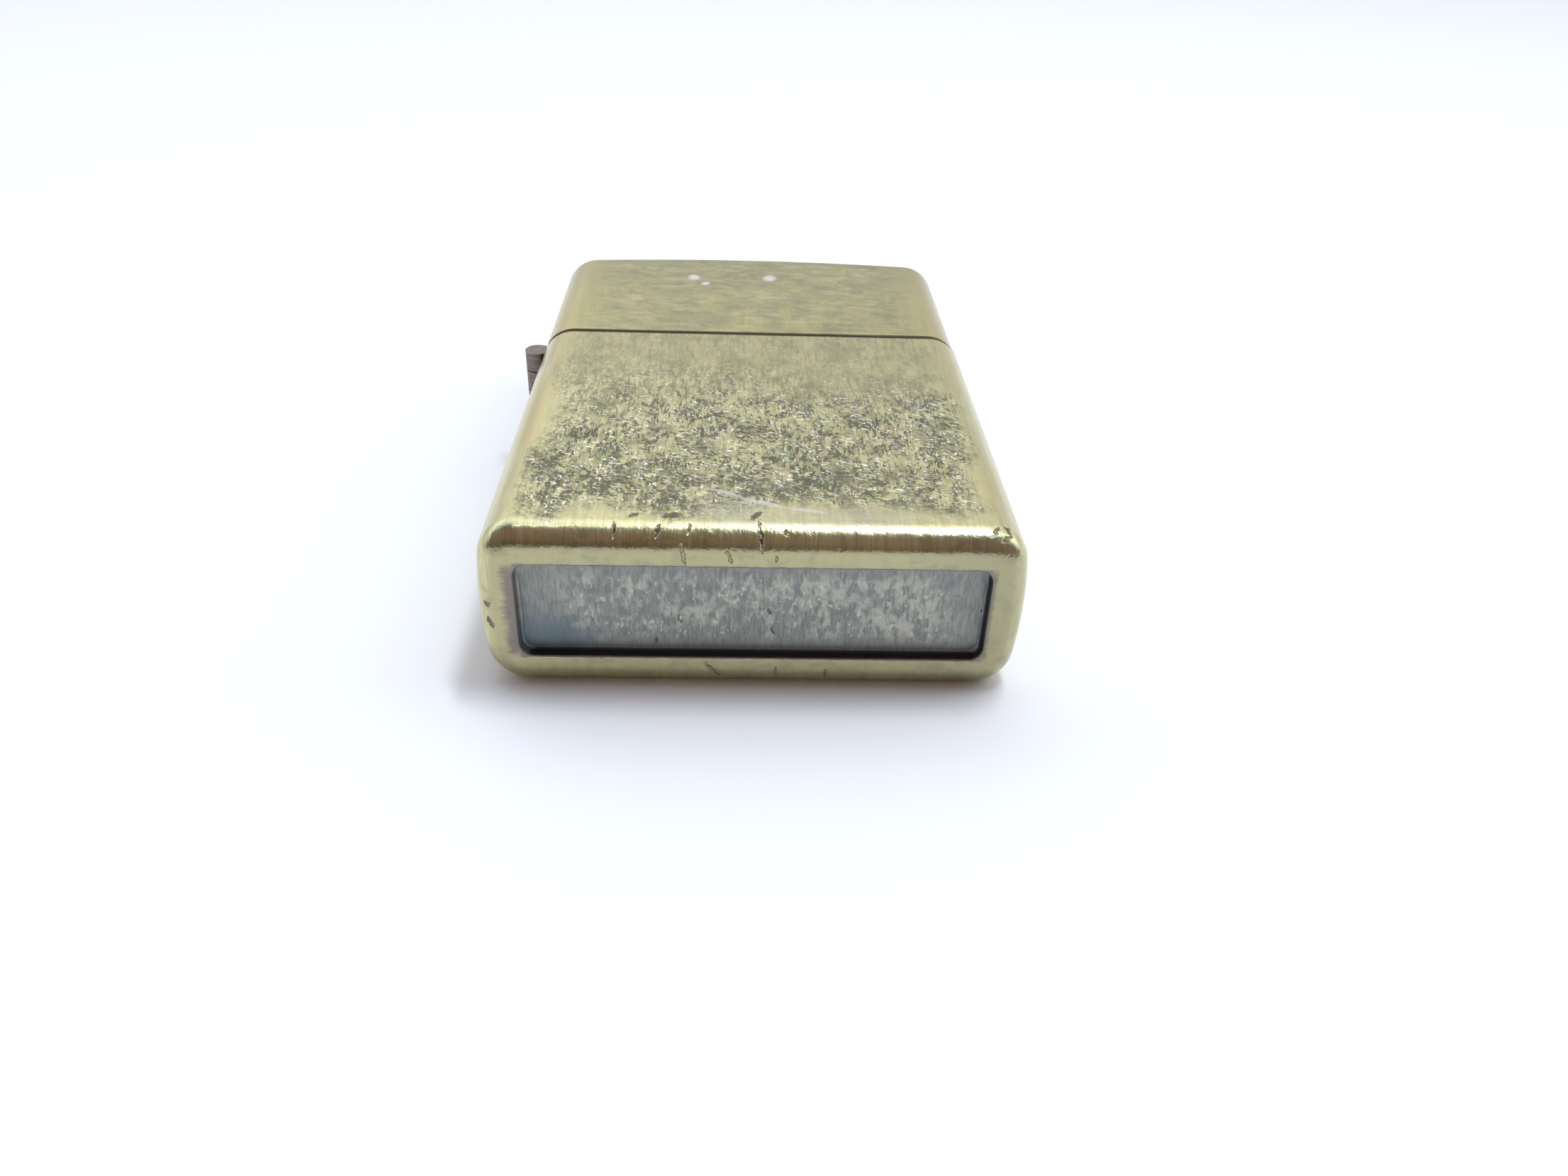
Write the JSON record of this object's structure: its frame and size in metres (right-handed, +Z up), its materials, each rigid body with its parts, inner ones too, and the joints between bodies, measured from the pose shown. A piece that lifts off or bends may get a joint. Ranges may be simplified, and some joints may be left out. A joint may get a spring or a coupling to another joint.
{
  "type": "flip-top petrol pocket lighter",
  "caption": "Windproof pocket lighter with a hinged flip-top lid over a wick, chimney and spring-fed flint with a striker wheel, in an antique brass case.",
  "frame": {"origin": "centre of the flat back face that the closed lighter lies on", "axes": "+X across the width, away from the hinge; +Y along the length, from the base to the lid; +Z up through the thickness, out of the front face"},
  "size_m": [0.0395, 0.0572, 0.0129],
  "materials": {
    "case_brass": "antique brass, brushed",
    "lid_brass": "antique brass, satin",
    "hinge_steel": "dark steel",
    "insert_steel": "satin plated steel",
    "chimney_steel": "plated steel",
    "rivet_steel": "plain steel",
    "spring_steel": "spring steel",
    "plain_brass": "plain brass",
    "wick_cotton": "woven cotton",
    "packing_cotton": "cotton wool",
    "felt": "pressed felt",
    "wheel_steel": "hardened steel, cut teeth",
    "cam_steel": "hardened steel",
    "flint": "pressed alloy"
  },
  "bodies": {
    "case": {"case_shell": "case_brass", "hinge_case_leaf": "hinge_steel", "hinge_pin": "hinge_steel", "insert_can": "insert_steel", "top_plate": "insert_steel", "chimney": "chimney_steel", "wheel_rivet": "rivet_steel", "cam_rivet": "rivet_steel", "cam_spring": "spring_steel", "cam_spring_rivet": "plain_brass", "flint_tube": "plain_brass", "flint_screw": "plain_brass", "flint_spring": "spring_steel", "wick": "wick_cotton", "packing": "packing_cotton", "felt_pad": "felt"},
    "lid": {"lid_shell": "lid_brass", "hinge_lid_leaf": "hinge_steel", "lid_stop_tab": "hinge_steel"},
    "wheel": {"striker_wheel": "wheel_steel"},
    "cam": {"cam": "cam_steel"},
    "flint": {"flint": "flint", "flint_spring_tip": "plain_brass"}
  },
  "joints": [
    {"name": "lid_hinge", "type": "hinge", "parent": "case", "child": "lid", "pos_m": [-0.0194, 0.00643, 0.00645], "axis": [0, 0, 1], "range_deg": [0, 130]},
    {"name": "wheel_spin", "type": "hinge", "parent": "case", "child": "wheel", "pos_m": [0.0103, 0.01792, 0.00645], "axis": [0, 0, 1], "continuous": true},
    {"name": "cam_pivot", "type": "hinge", "parent": "case", "child": "cam", "pos_m": [-0.0124, 0.01082, 0.00645], "axis": [0, 0, 1], "range_deg": [0, 30]},
    {"name": "flint_feed", "type": "slide", "parent": "case", "child": "flint", "axis": [0, 1, 0], "range_m": [-0.0015, 0], "stiffness_N_per_m": 300, "springref_m": 0.003, "deforming": ["flint_spring"]}
  ],
  "couplings": [
    {"joint": "cam_pivot", "follows": "lid_hinge", "ratio": 0.23}
  ]
}
